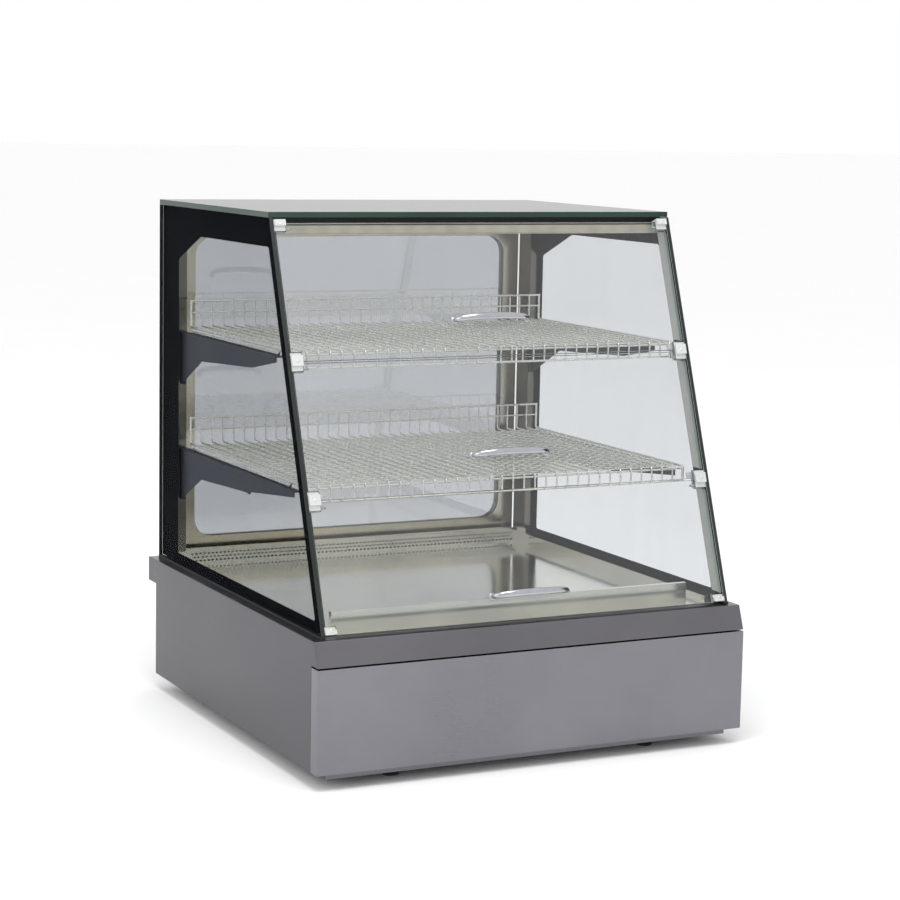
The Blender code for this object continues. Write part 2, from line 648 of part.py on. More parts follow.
def make_rear_door():
    """Front pan, mirror glass, gasket and rear cover, with a round-cornered window."""
    low, high = DOOR_Z
    front, rear = DOOR_Y
    back = rear - SHEET
    window = rounded(-WINDOW_X, WINDOW_Z[0], WINDOW_X, WINDOW_Z[1], WINDOW_RADIUS)
    frame = plate("rear_door_frame", [rectangle(-DOOR_X, low, DOOR_X, high), window],
                  y(front), y(back - GAP), "Y", BRIGHT_STEEL)
    inside = rectangle(-DOOR_X + SHEET, low + SHEET, DOOR_X - SHEET, high - SHEET)
    cut(frame, plate("door_inside", [inside], y(front + SHEET), y(rear + 0.01), "Y"))
    cover = [rectangle(-DOOR_X, low, DOOR_X, high), window]
    leaf = plate("rear_door_cover", cover, y(back), y(rear), "Y", BRIGHT_STEEL)
    lap = MIRROR_LAP
    glass_low = (-WINDOW_X - lap, WINDOW_Z[0] - lap)
    glass_high = (WINDOW_X + lap, WINDOW_Z[1] + lap)
    mirror_rear = front + SHEET + GAP + 0.004
    mirror = box("rear_door_mirror", (glass_low[0], y(front + SHEET + GAP), glass_low[1]),
                 (glass_high[0], y(mirror_rear), glass_high[1]), MIRROR)
    gasket = plate("rear_door_gasket", [rectangle(*glass_low, *glass_high), window],
                   y(mirror_rear + GAP), y(back - GAP), "Y", BLACK)
    axis = (DOOR_AXIS[0], y(DOOR_AXIS[1]))
    cut(frame, cylinder("door_pin_holes", 0.0035, (*axis, low - 0.01), (*axis, low + 0.012)),
        cylinder("door_pin_holes", 0.0035, (*axis, high - 0.012), (*axis, high + 0.01)))
    pin, collar = PIVOT_RADII
    pin_top = low + PIVOT_REACH
    pin_foot = high - PIVOT_REACH
    seat_low = RIM_Z + GAP
    seat_high = HEADER_Z - GAP
    lower = turned("door_pivot_lower", ((0, pin_top), (pin, pin_top), (pin, low - GAP),
                                        (collar, low - GAP), (collar, seat_low), (0, seat_low)), CHROME)
    upper = turned("door_pivot_upper", ((0, seat_high), (collar, seat_high), (collar, high + GAP),
                                        (pin, high + GAP), (pin, pin_foot), (0, pin_foot)), CHROME)
    for pivot in (lower, upper):
        pivot.location = (*axis, 0)
        smooth(pivot)
    seat = rear + GAP
    inner, outer = GRIP_X
    lip = [(inner, seat), (outer, seat), (outer, GRIP_REAR), (outer - SHEET, GRIP_REAR),
           (outer - SHEET, seat + SHEET), (inner, seat + SHEET)]
    grip = plate("rear_door_grip", [[(x, y(d)) for x, d in lip]], *GRIP_Z, "Z", CHROME)
    hinge = bpy.data.objects.new("rear_door_axis", None)
    hinge.location = (*axis, low)
    parts.objects.link(hinge)
    for piece in (frame, leaf, mirror, gasket, grip):
        carry(piece, hinge)


# ---- shelves ---------------------------------------------------------------
def make_bracket(name, sign, level):
    """Cantilever bracket: leaning web, top flange and a flange on the post."""
    top = SHELF_TOP[level] - BRACKET_BELOW
    tip = BRACKET_TIP[level]
    rear = POST_Y[0] - GAP
    web = [(rear, top), (tip, top), (tip, top - 0.009), (0.326, top - 0.026), (0.333, top - 0.031),
           (0.345, top - 0.029), (0.537, top - 0.038), (rear, top - 0.084)]
    if level == 0:
        web = [point for point in web if not 0.330 < point[0] < 0.346]
    faces = sorted((sign * WEB_X[0], sign * WEB_X[1]))
    bracket = plate(name, [[(y(d), z) for d, z in web]], *faces, "X", SLATE)
    flange = sorted((sign * FLANGE_X, sign * WEB_MIDDLE))
    tab = sorted((sign * TAB_X, sign * WEB_MIDDLE))
    join(bracket, box(name + "_flange", (flange[0], y(tip), top - 0.002), (flange[1], y(rear), top)),
         box(name + "_tab", (tab[0], y(rear - 0.002), top - 0.084), (tab[1], y(rear), top - 0.001)))


def make_shelf(name, level):
    """Lattice of flat wires, folded down at the front and up at the rear."""
    top = SHELF_TOP[level]
    front = SHELF_FRONT[level]
    across = stripes(-SHELF_X, SHELF_X, SHELF_WIRES)
    levels = stripes(front, SHELF_REAR, SHELF_ROWS[level])
    profile = [(front, top - SHELF_DROP), (front, top - SHELF_DROP + WIRE)]
    profile += [(d, top) for d, _ in levels]
    profile += [(SHELF_REAR, top + SHELF_FENCE - WIRE), (SHELF_REAR, top + SHELF_FENCE)]
    solid_rows = [True] + [False] + [wire for _, wire in levels[:-1]] + [False] + [True]
    bm = bmesh.new()
    grid = [[bm.verts.new((x, y(d), z)) for x, _ in across] for d, z in profile]
    for row, solid in enumerate(solid_rows):
        for column, (_, wire) in enumerate(across[:-1]):
            if solid or wire:
                bm.faces.new((grid[row][column], grid[row][column + 1],
                              grid[row + 1][column + 1], grid[row + 1][column]))
    bmesh.ops.delete(bm, geom=[v for v in bm.verts if not v.link_faces], context="VERTS")
    shelf = from_bmesh(name, bm, CHROME)
    skin = shelf.modifiers.new("thickness", "SOLIDIFY")
    skin.thickness = WIRE
    skin.offset = -1
    skin.use_even_offset = True
    bottom = top - BRACKET_BELOW + GAP
    for side in (-1, 1):
        edge = sorted((side * SHELF_X, side * (SHELF_X - 0.005)))
        join(shelf, box(name + "_rail", (edge[0], y(front + 0.060), bottom),
                        (edge[1], y(SHELF_REAR - 0.001), top - WIRE / 2)))


def stripes(low, high, count):
    """Edges of equally spaced wires between two ends, each with 'a wire starts here'."""
    pitch = (high - low - WIRE) / (count - 1)
    edges = []
    for index in range(count):
        edges += [(low + index * pitch, True), (low + index * pitch + WIRE, False)]
    return edges


# ---- front flaps -----------------------------------------------------------
def make_clip(name, sign, level):
    """Clip on the side glass: pin for the flap below, stop for the flap above."""
    height = up_slope(CLIP_Z[level])
    down = CLIP_DOWN[level]
    up = CLIP_UP[level]
    faces = sorted((sign * CLIP_X[0], sign * CLIP_X[1]))
    clip = box(name, (faces[0], height + down, CLIP_BACK[level]),
               (faces[1], height + up, FLAP_FACE), FROSTED)
    nose = box(name + "_nose", (faces[0], height + max(down, -0.006), FLAP_FACE - 0.0005),
               (faces[1], height + min(up, 0.009), 0.0035))
    added = [nose]
    if level < 3:
        pin = sorted((sign * 0.3035, sign * PIN_ROOT_X))
        place = (height - PIN_BELOW, FLAP_FACE - FLAP_THICK / 2)
        added.append(cylinder(name + "_pin", PIN_RADIUS, (pin[0], *place), (pin[1], *place),
                              "X", sides=12))
    if level in (1, 2):
        tab = sorted((sign * 0.303, sign * PIN_ROOT_X))
        added.append(box(name + "_stop", (tab[0], height + 0.003, -0.0115),
                         (tab[1], height + 0.012, FLAP_FACE - FLAP_THICK - GAP)))
    join(clip, *added)
    for obj in (clip, *added):
        lean(obj)


def make_flap(name, handle_name, level):
    """Clear flap hung on its pins, with its origin on the hinge axis, and its handle."""
    hinge = up_slope(CLIP_Z[level]) - PIN_BELOW
    top = 0.008
    bottom = up_slope(CLIP_Z[level + 1]) + (0.0015 if level < 2 else 0.0005) - hinge
    notch_top = -0.0052
    notch_bottom = up_slope(CLIP_Z[level + 1]) + 0.0147 - hinge
    skin = FLAP_THICK / 2
    flap = box(name, (-FLAP_X, bottom, -skin), (FLAP_X, top, skin), CLEAR)
    sides = ((-GLASS_X, -NARROW_X), (NARROW_X, GLASS_X))
    heights = ((bottom - 0.01, notch_bottom), (notch_top, top + 0.01))
    notches = [rectangle(left, low, right, high) for left, right in sides for low, high in heights]
    corners = plate(name + "_corners", notches, -0.01, 0.01, "Z")
    cut(flap, corners)
    out = FLAP_FACE - skin
    lean(flap, hinge, out)
    lean(corners, hinge, out)
    for sign in (-1, 1):
        hole = cylinder(name + "_pin_hole", PIN_RADIUS + 0.0004, (sign * 0.3025, 0, 0),
                        (sign * 0.3115, 0, 0), "X", sides=12)
        lean(hole, hinge, out)
        cut(flap, hole)
    up = up_slope(HANDLE_Z[level])
    foot = FLAP_FACE + GAP
    bow = [(-HANDLE_HALF * cos(pi * i / 16), up, foot + 0.002 + HANDLE_BOW * sin(pi * i / 16))
           for i in range(17)]
    bow = [(-HANDLE_HALF, up, foot), *bow, (HANDLE_HALF, up, foot)]
    carry(lean(rod(handle_name, bow, HANDLE_ROD, CHROME)), flap)


def main():
    clear_scene()
    make_feet()
    make_base_pan()
    make_body_shell()
    make_front_panel()
    make_rear_panel()
    make_deck_tray()
    make_heating()
    make_thermostat()
    make_switch("power_switch_body", "power_rocker", POWER_X)
    make_switch("light_switch_body", "light_rocker", LIGHT_X)
    make_display()
    make_supply()
    make_glass()
    make_lamp()
    make_posts()
    make_rear_header()
    make_rear_door()
    for level, place in enumerate(("upper", "lower")):
        make_bracket(f"bracket_{place}_left", -1, level)
        make_bracket(f"bracket_{place}_right", 1, level)
        make_shelf(f"shelf_{place}", level)
    for level, place in enumerate(("upper", "middle", "lower")):
        make_flap(f"flap_{place}", f"handle_{place}", level)
    for level in range(4):
        make_clip(f"clip_left_{level + 1}", -1, level)
        make_clip(f"clip_right_{level + 1}", 1, level)


main()
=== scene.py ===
"""Looks of the heated display case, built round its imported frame. Metres, +Z up."""

from math import atan, cos, pi, radians, sin

import bmesh
import bpy
from mathutils import Matrix, Vector


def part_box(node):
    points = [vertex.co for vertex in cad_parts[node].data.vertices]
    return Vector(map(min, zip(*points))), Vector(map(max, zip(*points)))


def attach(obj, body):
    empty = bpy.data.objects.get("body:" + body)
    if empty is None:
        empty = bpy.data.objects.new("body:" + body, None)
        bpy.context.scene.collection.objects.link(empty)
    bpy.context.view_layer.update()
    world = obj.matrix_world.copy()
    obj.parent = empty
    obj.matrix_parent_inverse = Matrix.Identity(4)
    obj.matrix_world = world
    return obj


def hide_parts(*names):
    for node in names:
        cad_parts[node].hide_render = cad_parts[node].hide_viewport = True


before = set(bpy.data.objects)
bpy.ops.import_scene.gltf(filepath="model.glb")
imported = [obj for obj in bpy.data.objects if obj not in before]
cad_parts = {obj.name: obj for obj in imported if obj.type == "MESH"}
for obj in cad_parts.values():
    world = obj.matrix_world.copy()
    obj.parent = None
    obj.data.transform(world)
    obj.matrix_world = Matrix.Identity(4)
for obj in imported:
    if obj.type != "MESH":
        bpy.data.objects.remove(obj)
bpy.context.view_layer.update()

# ---- places taken from the frame -------------------------------------------
GLASS_LOW, GLASS_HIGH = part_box("side_glass_right")
TOP_LOW, TOP_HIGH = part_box("top_glass")
PANEL_LOW, PANEL_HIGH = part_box("rear_panel")
COVER_LOW, COVER_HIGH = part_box("rear_door_cover")
KNOB_LOW, KNOB_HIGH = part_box("thermostat_knob")
KNOB = (KNOB_LOW + KNOB_HIGH) / 2
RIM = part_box("body_shell")[1].z
SLOPE = (TOP_LOW.y - GLASS_LOW.y) / (TOP_HIGH.z - GLASS_LOW.z)
LEAN = atan(SLOPE)
RIM_FRONT = GLASS_LOW.y - (GLASS_LOW.z - RIM) * SLOPE
UP = Vector((0, sin(LEAN), cos(LEAN)))
OUT = Vector((0, -cos(LEAN), sin(LEAN)))
SIDES = (("left", -1), ("right", 1))
FLAPS = ("upper", "middle", "lower")
LEVELS = ("upper", "lower")
CLIPS = range(1, 5)

# ---- sizes of the fine pieces ----------------------------------------------
WIRE = 0.00130              # radius of a shelf wire
FRAME_WIRE = 0.0020         # radius of a shelf's outer wires and side rails
EDGE_WIRE = WIRE * 1.25     # radius of the cross wires at the folded edges
WIRE_PITCH = 0.0184
CROSS_PITCH = 0.0184
WIRE_BEND = 0.0045
EDGE_INSET = 0.0045         # cross wires of the folded edges, from the edge
FOLD_WIRE = (0.0048, 0.0060)    # cross wire in the front fold: behind and below it
FENCE_WIRE = 0.0030         # upper cross wire of the rear fence, below its edge
SHELF_FENCE = 0.042         # height of the rear fence over the shelf's surface
SHELF_SEAT = 0.0125         # height of the surface over the bracket
RAIL_CLEAR = 0.0004
RAIL_INSET = 0.002
RAIL_FRONT = (0.062, 0.066)     # a side rail's foot, behind the front edge
RAIL_REAR = (0.010, 0.006)      # and before the rear edge
RAIL_BEND = 0.002

PRINT_FRONT = 0.0287        # width of the printed border along the sloping edge
PRINT_BOTTOM = 0.231        # height of its lower band's edge
PRINT_TOP = 0.744
PRINT_REAR = 0.268
PRINT_CHAMFER = (0.098, 0.040)
PRINT_THICK = 0.0001
PRINT_INSET = 0.0004        # from the glass's edges
PRINT_CLEAR = 0.0001        # from the glass's face
PRINT_CORNER = 0.004
TRIM_THICK = 0.0012
TRIM_GAP = 0.0003           # from the glass's face
TRIM_CLEAR = 0.0015         # from the clips
TRIM_FRONT = 0.0035         # from the glass's sloping edge
TRIM_REAR = 0.0280
TRIM_CORNER = 0.0015

FLAP_FACE = -0.0010         # outer face of the flaps, behind the leaning front
HANDLE_STEPS = 28
HANDLE_SIDES = 14
HANDLE_SHORT = 0.0040       # the arch's ends, inside the handle's box
HANDLE_CLEAR = 0.0003       # metal over glass
HANDLE_LIFT = 0.0004
HANDLE_STEM = 0.0025        # steep part beside each foot
HANDLE_RISE = 0.0205
HANDLE_WIDE = (0.0036, 0.0052)      # half width at the feet and at the middle
HANDLE_THICK = (0.0030, 0.0024)     # half thickness at the same places
HANDLE_FOOT = ((0, HANDLE_CLEAR), (0.0058, HANDLE_CLEAR), (0.0058, 0.0012), (0.0046, 0.0022),
               (0, 0.0024))

CLIP_SCREW = (0.3195, 0.001, 0.0037)    # across, up from the clip's middle, outwards
CLIP_SCREW_RADIUS = 0.0021
PANEL_SCREW_X = 0.12        # inner screws of the control panel
PANEL_SCREW_INSET = (0.009, 0.006)
COVER_SCREW_INSET = 0.013
COVER_SCREW_RADIUS = 0.0026
PAN_SCREW_INSET = 0.02

DIAL_MARKS = 11
DIAL_START = 225            # degrees, at the operator's lower left
DIAL_STEP = 27
DIAL_NEAR = 0.0265
DIAL_SHORT = 0.0305         # outer end of a short mark
DIAL_LONG = 0.0325
DIAL_WIRE = 0.0005
POINTER_WIRE = 0.0006
POINTER = (0.003, 0.0135)   # its ends over the knob's middle
PAINT_CLEAR = 0.0001        # marks over the face they lie on
WINDOW_INSET = (0.0075, 0.0060)
WINDOW_SINK = (0.0009, 0.0004)
WINDOW_CORNER = 0.0015
SIGNAL_RISE = 0.0265        # signal lamps over the level of the knob's middle
SIGNAL_PROFILE = ((0, 0.0), (0.0022, 0.0), (0.0020, 0.0009), (0.0010, 0.0014), (0, 0.0015))

GUARD_WIRE = 0.0004
GUARD_FLOOR = 0.0030        # over the pan's underside
GUARD_STEP = 0.0008         # one layer of wires over the other
GUARD_X = (0.108, 0.110)    # half the width to the last wire and to the wires' ends
GUARD_Y = (-0.155, 0.005)
GUARD_COUNT = (37, 21)

# ---- lights, floor, card and camera ----------------------------------------
LIGHT_AIM = (0, 0, 0.4)
LIGHTS = (("key", (-0.5, -1.2, 3.4), 1.6, 45), ("fill", (-3.0, -1.0, 2.0), 2.0, 18))
FLOOR_SIZE = 60
CARD_PLACE = (2.3, 0.3, 0.7)
CARD_SIZE = (1.4, 2.4)      # height and depth
AZIMUTH = radians(-26.688)
ELEVATION = radians(8.038)
ROLL = radians(-1.133)
DISTANCE = 3.666
AIM_Z = 0.514
AIM_RIGHT = 0.0208
AIM_UP = -0.0934
FOCAL_LENGTH = 94.2
SENSOR = 36.0


# ---- node helpers ----------------------------------------------------------
class Nodes:
    """A material's node tree, with its Principled shader and short calls."""

    def __init__(self, name, colour, metallic=0.0, roughness=0.5, **sockets):
        self.material = bpy.data.materials.new(name)
        self.material.use_nodes = True
        self.tree = self.material.node_tree
        self.shader = self.tree.nodes["Principled BSDF"]
        self.set("Base Color", (*colour, 1))
        self.set("Metallic", metallic)
        self.set("Roughness", roughness)
        for key, value in sockets.items():
            self.set(key.replace("_", " "), value)
        self.place = self.add("ShaderNodeTexCoord").outputs["Object"]

    def set(self, socket, value):
        self.shader.inputs[socket].default_value = value

    def add(self, kind, **values):
        node = self.tree.nodes.new(kind)
        for key, value in values.items():
            setattr(node, key, value)
        return node

    def link(self, source, target):
        self.tree.links.new(source, target)

    def stretched(self, scale):
        """Object coordinates scaled along each axis."""
        mapping = self.add("ShaderNodeMapping")
        mapping.inputs["Scale"].default_value = scale
        self.link(self.place, mapping.inputs["Vector"])
        return mapping.outputs["Vector"]

    def noise(self, scale=(1, 1, 1), size=1.0, detail=3.0, rough=0.55):
        node = self.add("ShaderNodeTexNoise")
        node.inputs["Scale"].default_value = size
        node.inputs["Detail"].default_value = detail
        node.inputs["Roughness"].default_value = rough
        self.link(self.stretched(scale), node.inputs["Vector"])
        return node.outputs["Fac"]

    def waves(self, direction, size):
        """Soft bands, one after another in a direction."""
        node = self.add("ShaderNodeTexWave", bands_direction=direction)
        node.inputs["Scale"].default_value = size
        self.link(self.place, node.inputs["Vector"])
        return node.outputs["Fac"]

    def between(self, source, low, high, start=0.0, end=1.0):
        """A number from low to high as the source goes from start to end."""
        node = self.add("ShaderNodeMapRange")
        limits = {"From Min": start, "From Max": end, "To Min": low, "To Max": high}
        for name, value in limits.items():
            node.inputs[name].default_value = value
        self.link(source, node.inputs["Value"])
        return node.outputs["Result"]

    def maths(self, operation, first, second=0.0):
        node = self.add("ShaderNodeMath", operation=operation)
        for socket, value in zip(node.inputs, (first, second)):
            if isinstance(value, (int, float)):
                socket.default_value = value
            else:
                self.link(value, socket)
        return node.outputs[0]

    def mix(self, share, first, second):
        """A colour between two colours, or between the colours of two sockets."""
        node = self.add("ShaderNodeMix", data_type="RGBA")
        self.link(share, node.inputs["Factor"])
        for name, value in (("A", first), ("B", second)):
            socket = [s for s in node.inputs if s.name == name and s.type == "RGBA"][0]
            if isinstance(value, tuple):
                socket.default_value = (*value, 1)
            else:
                self.link(value, socket)
        return [s for s in node.outputs if s.type == "RGBA"][0]

    def colour(self, source):
        self.link(source, self.shader.inputs["Base Color"])

    def roughness(self, source):
        self.link(source, self.shader.inputs["Roughness"])

    def bump(self, source, depth, strength=1.0):
        node = self.add("ShaderNodeBump")
        node.inputs["Distance"].default_value = depth
        node.inputs["Strength"].default_value = strength
        self.link(source, node.inputs["Height"])
        self.link(node.outputs["Normal"], self.shader.inputs["Normal"])

    def blend(self, share, first, second):
        """A shader between two shaders."""
        node = self.add("ShaderNodeMixShader")
        self.link(share, node.inputs["Fac"])
        for socket, shader in zip(node.inputs[1:], (first, second)):
            self.link(shader.outputs[0], socket)
        return node

    def facing(self, axis):
        """How squarely a face looks along an axis of the object, from 0 to 1."""
        node = self.add("ShaderNodeTexCoord")
        dot = self.add("ShaderNodeVectorMath", operation="DOT_PRODUCT")
        dot.inputs[1].default_value = axis
        self.link(node.outputs["Normal"], dot.inputs[0])
        return self.maths("ABSOLUTE", dot.outputs["Value"])


def scaled(colour, factor):
    """A colour made darker or lighter."""
    return tuple(min(1.0, c * factor) for c in colour)


def brushed(name, colour, roughness, grain=(2, 2, 900), painted_lamp_warmth=(1.0, 1.0, 1.0), depth=0.00003,
            streak=0.35, side=1.0, across=(1, 0, 0)):
    """Stainless steel with fine grain, broad tone changes and wiped patches.

    The grain shows more with a larger streak. Faces that look along the axis across are
    darkened to the share side: painted shade. The warm tint on the lighter patches is a
    painted reflection of the warm lamp.
    """
    n = Nodes(name, colour, 1.0, roughness, Anisotropic=0.35)
    lines = n.noise(grain, 1.0, 2.0, 0.7)
    patches = n.noise((3, 3, 3), 1.6, 4.0, 0.6)
    wiped = n.between(patches, 0, 1, 0.30, 0.70)
    dark = scaled(colour, 0.90)
    # lighter patches carry the painted warm reflection of the lamp
    light = tuple(min(1.0, c * 1.08 * w) for c, w in zip(colour, painted_lamp_warmth))
    tone = n.mix(n.between(lines, 0.0, streak, 0.3, 0.7), n.mix(wiped, dark, light), scaled(colour, 0.80))
    # painted shade: faces that look along the axis across are darkened to the share side
    if side < 1.0:
        shaded = n.mix(wiped, scaled(dark, side), scaled(light, side))
        tone = n.mix(n.facing(across), tone, shaded)
    n.colour(tone)
    spread = n.maths("ADD", n.between(lines, -0.15 * streak, 0.20 * streak, 0.3, 0.7),
                     n.between(patches, -0.04, 0.06, 0.3, 0.7))
    n.roughness(n.maths("ADD", spread, roughness))
    n.bump(lines, depth, 0.6)
    return n.material


def rolled(name, colour, roughness):
    """Steel post rolled with shallow grooves from top to bottom, each groove darkened with painted shade.
    """
    n = Nodes(name, colour, 1.0, roughness)
    grooves = n.waves("Y", 30.0)
    patches = n.noise((3, 3, 8), 1.4, 3.0)
    tone = n.mix(n.between(patches, 0, 1, 0.3, 0.7), scaled(colour, 0.9), colour)
    # painted shade: each groove is darkened to 0.30 of the steel's colour
    n.colour(n.mix(n.between(grooves, 1, 0, 0.15, 0.75), tone, scaled(colour, 0.30)))
    n.roughness(n.between(patches, roughness - 0.05, roughness + 0.06, 0.3, 0.7))
    n.bump(grooves, 0.0006, 0.4)
    return n.material


def polished(name, colour, roughness):
    """Chrome with faint pits and fingermarks."""
    n = Nodes(name, colour, 1.0, roughness)
    marks = n.noise((60, 60, 60), 1.0, 5.0, 0.6)
    n.colour(n.mix(n.between(marks, 0, 1, 0.35, 0.75), colour, scaled(colour, 0.86)))
    n.roughness(n.between(marks, roughness, roughness + 0.12, 0.35, 0.75))
    n.bump(n.noise((700, 700, 700), 1.0, 2.0), 0.00002, 0.3)
    return n.material


def plain(name, colour, roughness, grain=900, depth=0.00008, vary=0.10, **sockets):
    """Moulded or painted surface with a fine texture and slight tone changes."""
    n = Nodes(name, colour, sockets.pop("Metallic", 0.0), roughness, **sockets)
    cloud = n.noise((9, 9, 9), 1.0, 4.0)
    n.colour(n.mix(n.between(cloud, 0, 1, 0.3, 0.7), scaled(colour, 1 - vary), scaled(colour, 1 + vary)))
    n.roughness(n.between(cloud, roughness - 0.05, roughness + 0.08, 0.3, 0.7))
    n.bump(n.noise((grain, grain, grain), 1.0, 2.0), depth, 0.5)
    return n.material


def pane(name, axis, tint, edge, gloss=1.0, share=0.04, power=5.0):
    """Tinted glass whose faces look along an axis, with coloured edges.

    The faces reflect this share seen squarely, and more towards grazing angles.
    """
    n = Nodes(name, edge, 0.0, 0.15, Specular_IOR_Level=0.30)
    wiped = n.noise((5, 40, 5), 1.0, 4.0)
    bright = tuple(min(1.0, c * 1.8 + 0.01) for c in edge)
    n.colour(n.mix(n.between(n.noise((4, 4, 4), 1.0, 2.0), 0, 1, 0.3, 0.7), edge, bright))
    clear = n.add("ShaderNodeBsdfTransparent")
    n.link(n.mix(n.between(wiped, 0, 1, 0.45, 0.75), tint, scaled(tint, 0.985)), clear.inputs["Color"])
    shine = n.add("ShaderNodeBsdfGlossy")
    shine.inputs["Color"].default_value = (gloss, gloss, gloss, 1)
    shine.inputs["Roughness"].default_value = 0.0
    grazing = n.maths("POWER", n.add("ShaderNodeLayerWeight").outputs["Facing"], power)
    face = n.blend(n.between(grazing, share, 1.0), clear, shine)
    whole = n.blend(n.between(n.facing(axis), 0, 1, 0.80, 0.90), n.shader, face)
    n.link(whole.outputs["Shader"], n.tree.nodes["Material Output"].inputs["Surface"])
    return n.material


def glowing():
    """Opal cover of the light strip: warm, brighter over each of the small lamps."""
    cream = (0.40, 0.37, 0.30)
    n = Nodes("lamp_cover", cream, 0.0, 0.35)
    n.colour(n.mix(n.between(n.noise((20, 20, 20), 1.0), 0, 1, 0.3, 0.7), cream, (0.35, 0.32, 0.25)))
    n.set("Emission Color", (1.0, 0.84, 0.58, 1))
    n.link(n.between(n.waves("X", 9.0), 0.02, 0.07), n.shader.inputs["Emission Strength"])
    n.bump(n.noise((500, 500, 500), 1.0), 0.00005, 0.4)
    return n.material


STEEL = brushed("steel_panel", (0.214, 0.209, 0.231), 0.30, streak=0.08, depth=0.00001)
# darker copy of the panel steel for the shell and pan: painted shade, with more painted shade on faces
# that look along X
SHADED_SHELL_STEEL = brushed("steel_case_shaded", (0.158, 0.154, 0.169), 0.30, streak=0.08, depth=0.00001, side=0.62)
# deck steel: its warm cream tint is a painted reflection of the warm lamp, and its faces that look along Y
# get painted shade
DECK = brushed("steel_deck", (0.90, 0.89, 0.83), 0.13, grain=(260, 3, 3), painted_lamp_warmth=(1.04, 1.02, 0.95),
               depth=0.000002, streak=0.10, side=0.52, across=(0, 1, 0))
# frame steel: its yellowish tint is a painted reflection of the warm lamp
FRAME_STEEL = brushed("steel_frame", (0.47, 0.45, 0.385), 0.20, grain=(120, 120, 3),
                      painted_lamp_warmth=(1.08, 1.03, 0.92), depth=0.000002, streak=0.08)
POST_STEEL = rolled("steel_post", (0.21, 0.20, 0.172), 0.18)
ZINC = brushed("zinc_plate", (0.40, 0.40, 0.39), 0.42, grain=(30, 30, 30), depth=0.0001)
CHROME = polished("chrome", (0.82, 0.82, 0.82), 0.07)
# darker copy of the chrome for the flap handles: painted shade for their darker reflections
HANDLE_CHROME = polished("handle_chrome", (0.46, 0.47, 0.50), 0.12)
WIRE_METAL = polished("shelf_wire", (0.80, 0.80, 0.745), 0.24)
SLATE = plain("slate_paint", (0.036, 0.042, 0.054), 0.50, Specular_IOR_Level=0.25)
RAIL = plain("rail_black", (0.014, 0.012, 0.010), 0.45, Specular_IOR_Level=0.15)
BLACK = plain("black_plastic", (0.018, 0.018, 0.020), 0.42)
RUBBER = plain("black_rubber", (0.014, 0.014, 0.015), 0.62, grain=500, depth=0.0002)
PRINT = plain("black_print", (0.0085, 0.0088, 0.0115), 0.50, grain=60, depth=0.000002,
              Specular_IOR_Level=0.0)
FROST = plain("frosted_clip", (0.74, 0.76, 0.75), 0.32, Transmission_Weight=0.25, vary=0.05)
TRIM = plain("satin_trim", (0.62, 0.63, 0.60), 0.35, vary=0.06, Metallic=0.6)
TERMINAL = plain("terminal_cream", (0.70, 0.66, 0.52), 0.45)
ELEMENT = plain("element_sheath", (0.10, 0.09, 0.08), 0.40, Metallic=0.8)
MARK = plain("white_mark", (0.72, 0.72, 0.70), 0.50)
LENS = plain("display_lens", (0.020, 0.006, 0.006), 0.08)
AMBER = plain("amber_lens", (0.55, 0.16, 0.02), 0.20)
SIDE_PANE = pane("side_glass", (1, 0, 0), (0.868, 0.877, 0.884), (0.010, 0.014, 0.013),
                 share=0.0, power=14.0)
TOP_PANE = pane("top_glass", (0, 0, 1), (0.86, 0.88, 0.88), (0.008, 0.026, 0.018), gloss=0.68)
FLAP_PANE = pane("flap_glass", tuple(OUT), (0.938, 0.946, 0.952), (0.16, 0.20, 0.19))
DOOR_PANE = pane("door_glass", (0, 1, 0), (0.696, 0.706, 0.720), (0.020, 0.026, 0.026), share=0.10)
GLOW = glowing()


# ---- shape helpers ---------------------------------------------------------
def on_slope(x, up, out):
    """A place on the leaning front: across, up the slope from the rim, outwards."""
    return Vector((x, RIM_FRONT, RIM)) + UP * up + OUT * out


def up_slope(place):
    """How far up the leaning front a place is, from the rim."""
    return (place - Vector((0, RIM_FRONT, RIM))).dot(UP)


def front_of(z):
    """World Y of the side glass's sloping edge at a height."""
    return RIM_FRONT + (z - RIM) * SLOPE


def spaced(low, high, count):
    """Evenly spaced values, with both ends."""
    return [low + (high - low) * index / (count - 1) for index in range(count)]


def new_piece(name, mesh, material, body="case", angle=35):
    """A visible piece that moves with a body. Edges sharper than the angle stay sharp."""
    mesh.materials.clear()
    mesh.materials.append(material)
    mesh.shade_smooth()
    mesh.set_sharp_from_angle(angle=radians(angle))
    piece = bpy.data.objects.new(name, mesh)
    bpy.context.scene.collection.objects.link(piece)
    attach(piece, body)
    return piece


def finished(name, bm):
    """The mesh of a bmesh, which is then freed."""
    mesh = bpy.data.meshes.new(name)
    bm.to_mesh(mesh)
    bm.free()
    return mesh


def joined(meshes):
    """One mesh made from several."""
    bm = bmesh.new()
    for mesh in meshes:
        bm.from_mesh(mesh)
    return finished("whole", bm)


def draw(curve, points, closed=False):
    """Add a path of straight stretches to a curve."""
    spline = curve.splines.new("POLY")
    spline.points.add(len(points) - 1)
    for point, place in zip(spline.points, points):
        point.co = (*Vector(place).to_3d(), 1)
    spline.use_cyclic_u = closed


